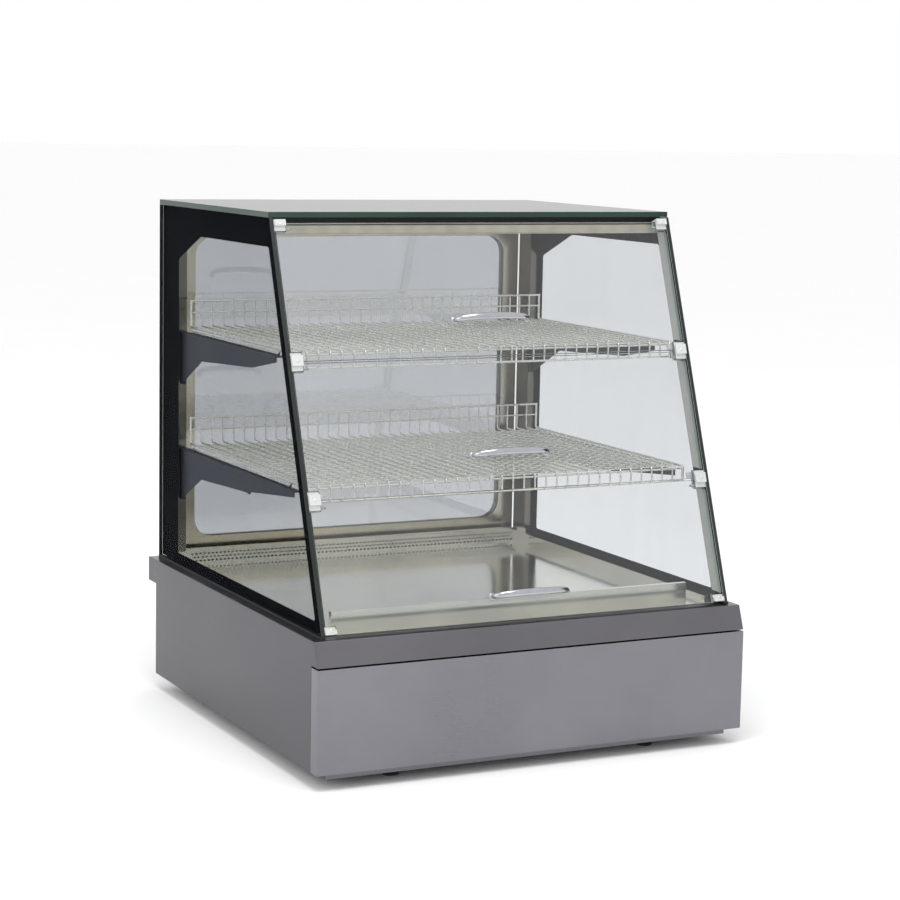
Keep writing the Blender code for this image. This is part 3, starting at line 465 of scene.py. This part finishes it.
def curve_mesh(curve, matrix=None):
    """The welded mesh of a curve, in world space."""
    obj = bpy.data.objects.new("curve", curve)
    bpy.context.scene.collection.objects.link(obj)
    bpy.context.view_layer.update()
    evaluated = obj.evaluated_get(bpy.context.evaluated_depsgraph_get())
    bm = bmesh.new()
    bm.from_mesh(bpy.data.meshes.new_from_object(evaluated))
    bpy.data.objects.remove(obj, do_unlink=True)
    bmesh.ops.remove_doubles(bm, verts=bm.verts, dist=0.000005)
    bmesh.ops.recalc_face_normals(bm, faces=bm.faces)
    if matrix:
        bm.transform(matrix)
    return finished("curve", bm)


def wires(paths, detail=2):
    """Round wires as one mesh: each path is its radius and its points."""
    meshes = []
    for radius in sorted({radius for radius, _ in paths}):
        curve = bpy.data.curves.new("wires", "CURVE")
        curve.dimensions = "3D"
        curve.bevel_depth = radius
        curve.bevel_resolution = detail
        curve.use_fill_caps = True
        for size, points in paths:
            if size == radius:
                draw(curve, points)
        meshes.append(curve_mesh(curve))
    return joined(meshes)


def sheet(loops, faces, across="X"):
    """A flat outline with holes, between two places along one axis."""
    low, high = sorted(faces)
    curve = bpy.data.curves.new("sheet", "CURVE")
    curve.dimensions = "2D"
    curve.fill_mode = "BOTH"
    curve.extrude = (high - low) / 2
    for loop in loops:
        draw(curve, loop, closed=True)
    middle = (low + high) / 2
    frames = {"X": Matrix(((0, 0, 1, middle), (1, 0, 0, 0), (0, 1, 0, 0), (0, 0, 0, 1))),
              "Y": Matrix(((1, 0, 0, 0), (0, 0, -1, middle), (0, 1, 0, 0), (0, 0, 0, 1)))}
    return curve_mesh(curve, frames[across])


def corner_turn(before, corner, after, radius, steps):
    """Points of a smooth turn that replaces a corner."""
    start = corner + (before - corner).normalized() * radius
    end = corner + (after - corner).normalized() * radius
    shares = [step / steps for step in range(steps + 1)]
    return [start * (1 - t) ** 2 + corner * 2 * t * (1 - t) + end * t * t for t in shares]


def bent(points, radius, steps=3):
    """A path with each inner corner turned on a radius."""
    points = [Vector(p) for p in points]
    path = [points[0]]
    for before, corner, after in zip(points, points[1:], points[2:]):
        path += corner_turn(before, corner, after, radius, steps)
    return path + [points[-1]]


def fillet(loop, radius, steps=4):
    """A closed flat outline with its corners rounded."""
    corners = [Vector(p) for p in loop]
    path = []
    for before, corner, after in zip(corners[-1:] + corners, corners, corners[1:] + corners[:1]):
        path += corner_turn(before, corner, after, radius, steps)
    return path


def turned(profile, place, direction, sides=20):
    """A profile of (radius, height) points turned round a direction."""
    bm = bmesh.new()
    verts = [bm.verts.new((radius, 0, height)) for radius, height in profile]
    edges = [bm.edges.new(pair) for pair in zip(verts, verts[1:])]
    bmesh.ops.spin(bm, geom=verts + edges, cent=(0, 0, 0), axis=(0, 0, 1), angle=2 * pi,
                   steps=sides, use_duplicate=False)
    bmesh.ops.remove_doubles(bm, verts=bm.verts, dist=0.000005)
    bmesh.ops.recalc_face_normals(bm, faces=bm.faces)
    turn = Vector(direction).to_track_quat("Z", "Y").to_matrix().to_4x4()
    bm.transform(Matrix.Translation(place) @ turn)
    return finished("turned", bm)


def screw(place, direction, radius):
    """Button head with a round socket."""
    height = radius * 0.55
    dome = [(0, -height * 0.3), (radius, -height * 0.3), (radius, height * 0.25)]
    dome += [(radius * cos(a), height * (0.25 + 0.75 * sin(a))) for a in (0.4, 0.7, 1.0)]
    socket = [(radius * 0.42, height * 0.9), (radius * 0.38, height * 0.25), (0, height * 0.25)]
    return turned(dome + socket, place, direction)


def add_screws(name, places, direction, radius=0.003, body="case"):
    """Screws at several places, as one piece."""
    meshes = [screw(place, direction, radius) for place in places]
    new_piece(name, joined(meshes), CHROME, body)


def soften(node, width, segments=2):
    """Round the CAD node's sharp edges where light catches them."""
    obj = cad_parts[node]
    weld = obj.modifiers.new("weld", "WELD")
    weld.merge_threshold = 0.00001
    bevel = obj.modifiers.new("edges", "BEVEL")
    bevel.width = width
    bevel.segments = segments
    bevel.limit_method = "ANGLE"
    bevel.angle_limit = radians(35)
    even = obj.modifiers.new("normals", "WEIGHTED_NORMAL")
    even.keep_sharp = False


def dress(material, *nodes):
    """Give CAD nodes this material."""
    for node in nodes:
        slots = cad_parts[node].data.materials
        if not slots:
            slots.append(material)
        for index in range(len(slots)):
            slots[index] = material


# ---- CAD nodes: better materials -------------------------------------------
def dress_nodes():
    """Give every CAD node its material, and round the edges that show."""
    clips = [f"clip_{side}_{index}" for side, _ in SIDES for index in CLIPS]
    brackets = [f"bracket_{level}_{side}" for level in LEVELS for side, _ in SIDES]
    feet = [f"foot_{row}_{side}" for row in ("front", "rear") for side, _ in SIDES]
    switches = ["power_switch_body", "light_switch_body", "temperature_display", "power_rocker",
                "light_rocker"]
    dress(STEEL, "front_panel", "rear_panel")
    dress(SHADED_SHELL_STEEL, "body_shell", "base_pan")
    dress(DECK, "deck_tray")
    dress(FRAME_STEEL, "rear_header", "rear_door_frame", "rear_door_cover")
    dress(POST_STEEL, "post_left", "post_right")
    dress(ZINC, "air_duct", "fan_motor", "fan_impeller", "thermostat_body")
    dress(CHROME, "rear_door_grip", "door_pivot_lower", "door_pivot_upper")
    dress(SIDE_PANE, "side_glass_left", "side_glass_right")
    dress(TOP_PANE, "top_glass")
    dress(FLAP_PANE, *[f"flap_{place}" for place in FLAPS])
    dress(DOOR_PANE, "rear_door_mirror")
    dress(SLATE, *brackets)
    dress(RAIL, "lamp_rail")
    dress(ELEMENT, "heating_element")
    dress(BLACK, *switches, "cable_gland", "thermostat_knob")
    dress(RUBBER, "glass_seal_left", "glass_seal_right", "rear_door_gasket", *feet)
    dress(FROST, *clips)
    dress(TERMINAL, "terminal_block")
    dress(GLOW, "lamp_diffuser")
    for node in ("body_shell", "front_panel", *clips):
        soften(node, 0.0012, 3)
    for node in ("deck_tray", "rear_door_cover"):
        soften(node, 0.0006)
    for node in switches:
        soften(node, 0.0005)
    for node in brackets:
        soften(node, 0.0004)


# ---- printed borders and trims ---------------------------------------------
def make_prints():
    """Black ceramic print round the inner face of each side glass."""

    def edge(z):
        return front_of(z) + PRINT_INSET

    low, high = GLASS_LOW.z + PRINT_INSET, GLASS_HIGH.z - PRINT_INSET
    rear = GLASS_HIGH.y - PRINT_INSET
    outer = [(edge(low), low), (rear, low), (rear, high), (edge(high), high)]
    step = PRINT_FRONT / cos(LEAN)
    back, drop = PRINT_CHAMFER
    inner = [(edge(PRINT_BOTTOM) + step, PRINT_BOTTOM), (PRINT_REAR, PRINT_BOTTOM),
             (PRINT_REAR, PRINT_TOP - drop), (PRINT_REAR - back, PRINT_TOP),
             (edge(PRINT_TOP) + step, PRINT_TOP)]
    for side, sign in SIDES:
        face = sign * (GLASS_LOW.x - PRINT_CLEAR)
        mesh = sheet([outer, fillet(inner, PRINT_CORNER)], (face, face - sign * PRINT_THICK))
        new_piece("print_" + side, mesh, PRINT)


def make_trims():
    """Satin strip down the inner face of each side glass, between the flap clips."""
    inner = GLASS_LOW.x - TRIM_GAP
    for side, sign in SIDES:
        clips = [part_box(f"clip_{side}_{index}") for index in CLIPS]
        meshes = []
        for above, below in zip(clips, clips[1:]):
            high = above[0].z - TRIM_CLEAR
            low = below[1].z + TRIM_CLEAR
            corners = ((low, TRIM_FRONT), (low, TRIM_REAR), (high, TRIM_REAR), (high, TRIM_FRONT))
            strip = [(front_of(z) + reach, z) for z, reach in corners]
            meshes.append(sheet([fillet(strip, TRIM_CORNER)], (sign * inner, sign * (inner - TRIM_THICK))))
        new_piece("edge_trim_" + side, joined(meshes), TRIM)


# ---- wire shelves ----------------------------------------------------------
def make_shelf(level):
    """Welded wire shelf: fine wires front to back over cross wires, with edge wires."""
    name = "shelf_" + level
    low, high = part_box(name)
    top = high.z - SHELF_FENCE
    front, rear = low.y, high.y
    half = high.x - FRAME_WIRE
    under = top - 3 * WIRE
    count = round(2 * half / WIRE_PITCH)
    paths = []
    for index, x in enumerate(spaced(-half, half, count + 1)):
        radius = FRAME_WIRE if index in (0, count) else WIRE
        points = ((x, front + radius, low.z + radius), (x, front + radius, top - radius),
                  (x, rear - radius, top - radius), (x, rear - radius, high.z - WIRE))
        paths.append((radius, bent(points, WIRE_BEND)))
    rows = round((rear - front) / CROSS_PITCH)
    across = [(WIRE, y, under) for y in spaced(front, rear, rows + 1)[1:-1]]
    across += [(EDGE_WIRE, front + EDGE_INSET, low.z + FRAME_WIRE),
               (EDGE_WIRE, front + FOLD_WIRE[0], top - FOLD_WIRE[1]),
               (EDGE_WIRE, rear - EDGE_INSET, high.z - FENCE_WIRE),
               (WIRE, rear - EDGE_INSET, (top + high.z) / 2)]
    paths += [(radius, [(-half, y, z), (half, y, z)]) for radius, y, z in across]
    seat = top - SHELF_SEAT + FRAME_WIRE + RAIL_CLEAR
    for _, sign in SIDES:
        x = sign * (half - RAIL_INSET)
        points = ((x, front + RAIL_FRONT[0], under), (x, front + RAIL_FRONT[1], seat),
                  (x, rear - RAIL_REAR[0], seat), (x, rear - RAIL_REAR[1], under))
        paths.append((FRAME_WIRE, bent(points, RAIL_BEND)))
    shelf = new_piece("wires_" + level, wires(paths), WIRE_METAL, angle=50)
    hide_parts(name)


# ---- flap handles ----------------------------------------------------------
def handle_ring(bm, angle, half, up):
    """The arch's outline at one place, which an angle from 0 to pi gives along it."""
    bulge = sin(angle)
    out = FLAP_FACE + HANDLE_LIFT + HANDLE_STEM * min(1.0, 8 * bulge) + HANDLE_RISE * bulge
    slope = Vector((half * bulge, 0, HANDLE_RISE * cos(angle))).normalized()
    side = Vector((-slope.z, 0, slope.x))
    wide, thick = (feet + (middle - feet) * bulge for feet, middle in (HANDLE_WIDE, HANDLE_THICK))
    ring = []
    for number in range(HANDLE_SIDES):
        turn = 2 * pi * number / HANDLE_SIDES
        reach = side * thick * cos(turn)
        ring.append(bm.verts.new(on_slope(reach.x - half * cos(angle), up + wide * sin(turn),
                                          max(FLAP_FACE + HANDLE_CLEAR, out + reach.z))))
    return ring


def make_handle(place):
    """Low arched handle, flat and wide at the middle, on two round feet."""
    name = "handle_" + place
    low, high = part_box(name)
    half = (high.x - low.x) / 2 - HANDLE_SHORT
    up = up_slope((low + high) / 2)
    bm = bmesh.new()
    rings = [handle_ring(bm, angle, half, up) for angle in spaced(0, pi, HANDLE_STEPS + 1)]
    for first, second in zip(rings, rings[1:]):
        for number in range(HANDLE_SIDES):
            after = (number + 1) % HANDLE_SIDES
            bm.faces.new((first[number], first[after], second[after], second[number]))
    bm.faces.new(rings[0])
    bm.faces.new(reversed(rings[-1]))
    bmesh.ops.recalc_face_normals(bm, faces=bm.faces)
    feet = [turned(HANDLE_FOOT, on_slope(sign * half, up, FLAP_FACE), OUT, 24) for _, sign in SIDES]
    whole = joined([finished(name, bm), *feet])
    handle = new_piece("grip_" + place, whole, HANDLE_CHROME, "flap_" + place, 50)
    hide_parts(name)


# ---- small hardware --------------------------------------------------------
def make_clip_screws():
    """A small screw in the front of each clip."""
    across, rise, out = CLIP_SCREW
    for side, sign in SIDES:
        places = []
        for index in CLIPS:
            low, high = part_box(f"clip_{side}_{index}")
            places.append(on_slope(sign * across, up_slope((low + high) / 2) + rise, out))
        add_screws("clip_screws_" + side, places, OUT, CLIP_SCREW_RADIUS)


def make_panel_screws():
    """Screws of the rear control panel, the door's cover and the base pan."""
    back = (0, 1, 0)
    side, edge = PANEL_SCREW_INSET
    xs = (PANEL_LOW.x + side, -PANEL_SCREW_X, PANEL_SCREW_X, PANEL_HIGH.x - side)
    zs = (PANEL_LOW.z + edge, PANEL_HIGH.z - edge)
    add_screws("panel_screws", [(x, PANEL_HIGH.y, z) for z in zs for x in xs], back)
    inset = COVER_SCREW_INSET
    xs = (COVER_LOW.x + inset, 0.0, COVER_HIGH.x - inset)
    zs = (COVER_LOW.z + inset, COVER_HIGH.z - inset)
    places = [(x, COVER_HIGH.y, z) for x in xs for z in zs]
    places.append((xs[0], COVER_HIGH.y, sum(zs) / 2))
    add_screws("door_screws", places, back, COVER_SCREW_RADIUS, "rear_door")
    low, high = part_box("base_pan")
    inset = PAN_SCREW_INSET
    ys = (low.y + inset, (low.y + high.y) / 2, high.y - inset)
    places = [(x, y, low.z) for x in (low.x + inset, high.x - inset) for y in ys]
    add_screws("pan_screws", places, (0, 0, -1))


def make_dial():
    """Plain scale marks round the thermostat's knob, and the pointer on it."""
    base = Vector((KNOB.x, PANEL_HIGH.y + PAINT_CLEAR, KNOB.z))
    marks = []
    for index in range(DIAL_MARKS):
        angle = radians(DIAL_START - DIAL_STEP * index)
        away = Vector((-cos(angle), 0, sin(angle)))
        far = DIAL_SHORT if index % 5 else DIAL_LONG
        marks.append((DIAL_WIRE, [base + away * DIAL_NEAR, base + away * far]))
    new_piece("dial_marks", wires(marks, 1), MARK)
    ends = [(KNOB.x, KNOB_HIGH.y + PAINT_CLEAR, KNOB.z + rise) for rise in POINTER]
    new_piece("knob_pointer", wires([(POINTER_WIRE, ends)], 1), MARK, "thermostat")


def make_display_window():
    """Dark lens in the temperature display."""
    low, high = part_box("temperature_display")
    side, edge = WINDOW_INSET
    left, right = low.x + side, high.x - side
    bottom, top = low.z + edge, high.z - edge
    outline = [(left, bottom), (right, bottom), (right, top), (left, top)]
    lens = sheet([fillet(outline, WINDOW_CORNER)], [high.y - sink for sink in WINDOW_SINK], "Y")
    new_piece("display_window", lens, LENS)


def make_signal_lamps():
    """Amber lens over each switch."""
    dots = []
    for rocker in ("power_rocker", "light_rocker"):
        low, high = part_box(rocker)
        place = ((low.x + high.x) / 2, PANEL_HIGH.y, KNOB.z + SIGNAL_RISE)
        dots.append(turned(SIGNAL_PROFILE, place, (0, 1, 0), 18))
    new_piece("signal_lamps", joined(dots), AMBER)


def make_slot_guard():
    """Fine mesh guard behind the pan's air slots."""
    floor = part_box("base_pan")[0].z + GUARD_FLOOR
    last, reach = GUARD_X
    front, rear = GUARD_Y
    over = floor + GUARD_STEP
    lines = [[(x, front, floor), (x, rear, floor)] for x in spaced(-last, last, GUARD_COUNT[0])]
    lines += [[(-reach, y, over), (reach, y, over)] for y in spaced(front, rear, GUARD_COUNT[1])]
    guard = wires([(GUARD_WIRE, line) for line in lines], 1)
    new_piece("slot_guard", guard, ZINC)


# ---- studio ----------------------------------------------------------------
def studio_sheet(name, size, material, place=Matrix.Identity(4)):
    """A flat square that belongs to the studio."""
    bm = bmesh.new()
    bmesh.ops.create_grid(bm, x_segments=1, y_segments=1, size=size)
    bm.transform(place)
    mesh = finished(name, bm)
    mesh.materials.append(material)
    obj = bpy.data.objects.new(name, mesh)
    bpy.context.scene.collection.objects.link(obj)
    return obj


def make_floor():
    grey = (0.95, 0.95, 0.95)
    n = Nodes("floor", grey, 0.0, 0.80, Specular_IOR_Level=0.2)
    n.colour(n.mix(n.between(n.noise((2, 2, 2), 1.0), 0, 1, 0.3, 0.7), grey, (0.96, 0.96, 0.96)))
    studio_sheet("floor", FLOOR_SIZE, n.material)


def make_world():
    """Soft white studio, a little brighter overhead than at the horizon."""
    world = bpy.data.worlds.new("studio")
    bpy.context.scene.world = world
    world.use_nodes = True
    tree = world.node_tree
    shade = tree.nodes["Background"]
    place = tree.nodes.new("ShaderNodeTexCoord")
    split = tree.nodes.new("ShaderNodeSeparateXYZ")
    tree.links.new(place.outputs["Generated"], split.inputs["Vector"])
    ramp = tree.nodes.new("ShaderNodeValToRGB")
    horizon, overhead = ramp.color_ramp.elements
    horizon.position = 0.0
    horizon.color = (1.0, 1.0, 1.0, 1)
    overhead.position = 0.9
    overhead.color = (1.02, 1.02, 1.03, 1)
    tree.links.new(split.outputs["Z"], ramp.inputs["Fac"])
    tree.links.new(ramp.outputs["Color"], shade.inputs["Color"])
    shade.inputs["Strength"].default_value = 1.0


def soft_light(name, place, size, power):
    """Square light that shines on the case."""
    light = bpy.data.lights.new(name, "AREA")
    light.shape = "SQUARE"
    light.size = size
    light.energy = power
    obj = bpy.data.objects.new(name, light)
    obj.location = place
    obj.rotation_mode = "QUATERNION"
    obj.rotation_quaternion = (Vector(LIGHT_AIM) - Vector(place)).to_track_quat("-Z", "Y")
    bpy.context.scene.collection.objects.link(obj)


def make_dark_card():
    """Dark card on the case's right that only reflections see."""
    upright = Matrix.Rotation(pi / 2, 4, "Y") @ Matrix.Diagonal((*CARD_SIZE, 1, 1))
    cloth = plain("card_cloth", (0.03, 0.03, 0.035), 0.9)
    card = studio_sheet("dark_card", 0.5, cloth, Matrix.Translation(CARD_PLACE) @ upright)
    card.visible_camera = False
    card.visible_diffuse = False
    card.visible_shadow = False


def make_camera():
    """Camera in front of the case's left corner, a little above its top."""
    back = Vector((sin(AZIMUTH) * cos(ELEVATION), -cos(AZIMUTH) * cos(ELEVATION), sin(ELEVATION)))
    right = Vector((cos(AZIMUTH), sin(AZIMUTH), 0))
    up = back.cross(right)
    across = right * cos(ROLL) - up * sin(ROLL)
    upward = right * sin(ROLL) + up * cos(ROLL)
    data = bpy.data.cameras.new("camera")
    data.lens = FOCAL_LENGTH
    data.sensor_width = SENSOR
    camera = bpy.data.objects.new("camera", data)
    place = Vector((0, 0, AIM_Z)) + back * DISTANCE + right * AIM_RIGHT + up * AIM_UP
    turn = Matrix((across, upward, back)).transposed().to_4x4()
    camera.matrix_world = Matrix.Translation(place) @ turn
    bpy.context.scene.collection.objects.link(camera)
    bpy.context.scene.camera = camera


def main():
    dress_nodes()
    make_prints()
    make_trims()
    for level in LEVELS:
        make_shelf(level)
    for place in FLAPS:
        make_handle(place)
    make_clip_screws()
    make_panel_screws()
    make_dial()
    make_display_window()
    make_signal_lamps()
    make_slot_guard()
    make_floor()
    make_world()
    make_dark_card()
    for light in LIGHTS:
        soft_light(*light)
    make_camera()
    bpy.context.scene.view_settings.view_transform = "Standard"


main()
